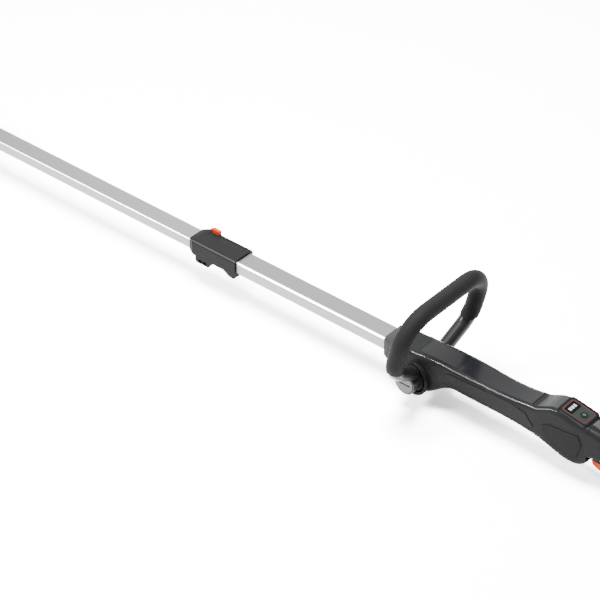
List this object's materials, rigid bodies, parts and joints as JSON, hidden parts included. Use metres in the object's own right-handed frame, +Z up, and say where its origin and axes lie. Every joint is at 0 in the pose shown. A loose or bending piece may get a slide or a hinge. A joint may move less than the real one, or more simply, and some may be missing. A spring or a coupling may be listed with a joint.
{
  "type": "pole hedge trimmer",
  "caption": "Battery pole hedge trimmer with a telescopic rounded-rectangle pole, tilting cutter head, tilting loop handle, trigger grip with display and a slide-off battery.",
  "frame": {"origin": "on the floor under the middle of the tool, fore and aft, with the tool resting on its gear case and battery", "axes": "+X forward along the pole towards the blade tip, +Y to the user's left, +Z up"},
  "size_m": [2.158, 0.206, 0.1982],
  "materials": {
    "tube_metal": "satin anodised, fine lengthwise grain",
    "dark_plastic": "fine moulded texture",
    "black_gloss": "smooth, light scratches",
    "grey_plastic": "fine moulded texture",
    "orange_plastic": "smooth moulded",
    "soft_grip": "soft touch",
    "panel_film": "glossy film with thin dark red border",
    "light_cell": "translucent",
    "steel": "ground",
    "blade_steel": "ground edges",
    "cast_alloy": "die cast, shot blasted",
    "shoe_rubber": "plain",
    "board": "solder mask",
    "zinc": "zinc plated",
    "battery_plastic": "fine moulded texture"
  },
  "bodies": {
    "handle": {"outer_tube": "tube_metal", "collar_housing": "dark_plastic", "guide_bush": "dark_plastic", "collar_screws": "zinc", "lever_pin": "steel", "handle_shell_left": "dark_plastic", "handle_shell_right": "dark_plastic", "nose_collar": "grey_plastic", "top_trim": "black_gloss", "ramp_trim": "grey_plastic", "shell_screws": "zinc", "side_inlays": "dark_plastic", "grip_pads": "soft_grip", "rear_grip": "soft_grip", "tube_clamp": "dark_plastic", "display_bezel": "black_gloss", "display_panel": "panel_film", "charge_lights": "light_cell", "trigger_pin": "steel", "trigger_spring": "steel", "trigger_switch": "dark_plastic", "dock_housing": "dark_plastic", "terminal_block": "dark_plastic", "circuit_board": "board"},
    "lock_lever": {"lock_lever": "dark_plastic", "lock_button": "orange_plastic", "lock_shoe": "shoe_rubber"},
    "power_button": {"power_button": "black_gloss"},
    "lockoff": {"lockoff_tab": "grey_plastic"},
    "trigger": {"trigger": "orange_plastic"},
    "loop": {"loop_core": "dark_plastic", "loop_grip": "soft_grip", "loop_bolt": "zinc", "loop_nut": "zinc"},
    "battery": {"battery_case": "battery_plastic"},
    "battery_button_left": {"battery_button_left": "orange_plastic"},
    "battery_button_right": {"battery_button_right": "orange_plastic"},
    "front_tube": {"inner_tube": "tube_metal", "tube_end_plug": "dark_plastic", "knuckle_left": "dark_plastic", "knuckle_right": "dark_plastic", "knuckle_screws": "zinc", "pivot_pin": "steel"},
    "tilt_lock": {"tilt_lock": "orange_plastic"},
    "head": {"head_bracket": "cast_alloy", "index_ring": "steel", "gear_case": "cast_alloy", "bottom_cover": "dark_plastic", "case_screws": "zinc", "shaft_bearings": "steel", "head_cover": "dark_plastic", "blade_shield": "dark_plastic", "motor_can": "steel", "blade_bar": "steel", "blade_bolts": "zinc", "tip_guard": "dark_plastic"},
    "rotor": {"motor_rotor": "steel"},
    "gear": {"drive_gear": "steel"},
    "upper_blade": {"upper_blade": "blade_steel"},
    "lower_blade": {"lower_blade": "blade_steel"}
  },
  "joints": [
    {"name": "tube_slide", "type": "slide", "parent": "handle", "child": "front_tube", "axis": [-1, 0, 0], "range_m": [0, 0.34]},
    {"name": "lock_lever_press", "type": "hinge", "parent": "handle", "child": "lock_lever", "pos_m": [-0.113, -0.009, 0.0787], "axis": [0, 1, 0], "range_deg": [0, 4], "stiffness_Nm_per_rad": 0.6, "springref_deg": -6.88},
    {"name": "power_button_press", "type": "slide", "parent": "handle", "child": "power_button", "axis": [0.165, 0, -0.9863], "range_m": [0, 0.0007], "stiffness_N_per_m": 500, "springref_m": -0.001},
    {"name": "lockoff_press", "type": "slide", "parent": "handle", "child": "lockoff", "axis": [0, 0, -1], "range_m": [0, 0.003], "stiffness_N_per_m": 500, "springref_m": -0.002},
    {"name": "trigger_pull", "type": "hinge", "parent": "handle", "child": "trigger", "pos_m": [-0.821, 0, 0.055], "axis": [0, 1, 0], "range_deg": [0, 8], "stiffness_Nm_per_rad": 1.2, "springref_deg": -5.73, "deforming": ["trigger_spring"]},
    {"name": "loop_tilt", "type": "hinge", "parent": "handle", "child": "loop", "pos_m": [-0.5069, 0, 0.0436], "axis": [0, 1, 0], "range_deg": [-40, 40]},
    {"name": "battery_slide", "type": "slide", "parent": "handle", "child": "battery", "axis": [-1, 0, 0], "range_m": [0, 0.12]},
    {"name": "battery_button_left_press", "type": "slide", "parent": "battery", "child": "battery_button_left", "axis": [0, -1, 0], "range_m": [0, 0.0025], "stiffness_N_per_m": 500, "springref_m": -0.002},
    {"name": "battery_button_right_press", "type": "slide", "parent": "battery", "child": "battery_button_right", "axis": [0, 1, 0], "range_m": [0, 0.0025], "stiffness_N_per_m": 500, "springref_m": -0.002},
    {"name": "head_tilt", "type": "hinge", "parent": "front_tube", "child": "head", "pos_m": [0.477, 0, 0.066], "axis": [0, 1, 0], "range_deg": [-45, 75]},
    {"name": "tilt_lock_slide", "type": "slide", "parent": "front_tube", "child": "tilt_lock", "axis": [-1, 0, 0], "range_m": [0, 0.005], "stiffness_N_per_m": 400, "springref_m": -0.003},
    {"name": "gear_spin", "type": "hinge", "parent": "head", "child": "gear", "pos_m": [0.577, 0, 0.036], "axis": [0, 0, 1], "continuous": true},
    {"name": "rotor_spin", "type": "hinge", "parent": "head", "child": "rotor", "pos_m": [0.5395, 0, 0.036], "axis": [0, 0, 1], "continuous": true},
    {"name": "upper_blade_slide", "type": "slide", "parent": "head", "child": "upper_blade", "axis": [1, 0, 0], "range_m": [-0.006, 0.006]},
    {"name": "lower_blade_slide", "type": "slide", "parent": "head", "child": "lower_blade", "axis": [1, 0, 0], "range_m": [-0.006, 0.006]}
  ],
  "couplings": [
    {"joint": "rotor_spin", "follows": "gear_spin", "ratio": -4},
    {"joint": "lower_blade_slide", "follows": "upper_blade_slide", "ratio": -1}
  ]
}
